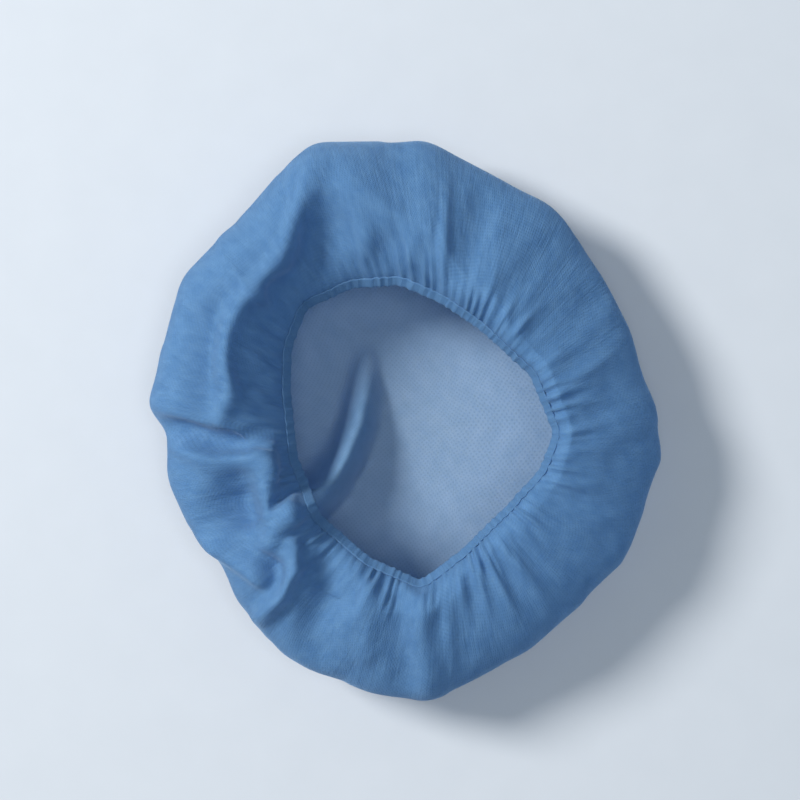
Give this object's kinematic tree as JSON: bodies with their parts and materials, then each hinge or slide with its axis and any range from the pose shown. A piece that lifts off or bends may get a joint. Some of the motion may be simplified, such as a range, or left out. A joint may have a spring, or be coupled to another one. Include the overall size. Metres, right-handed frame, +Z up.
{
  "type": "disposable bouffant hairnet cap",
  "caption": "Disposable non-woven bouffant cap, gathered at its mouth by an elastic hem and lying crown down.",
  "frame": {"origin": "middle of the cap's outline on the surface that it rests on", "axes": "+Z up out of the mouth, +Y along the cap's longer way, +X along its shorter way"},
  "size_m": [0.2895, 0.3171, 0.0867],
  "materials": {
    "crown": "matte blue spunbond non-woven, slightly see-through",
    "hem": "matte blue spunbond non-woven, folded and gathered",
    "elastic": "matte white elastic"
  },
  "bodies": {
    "root": {"crown": "crown", "hem": "hem", "elastic": "elastic"}
  },
  "joints": []
}
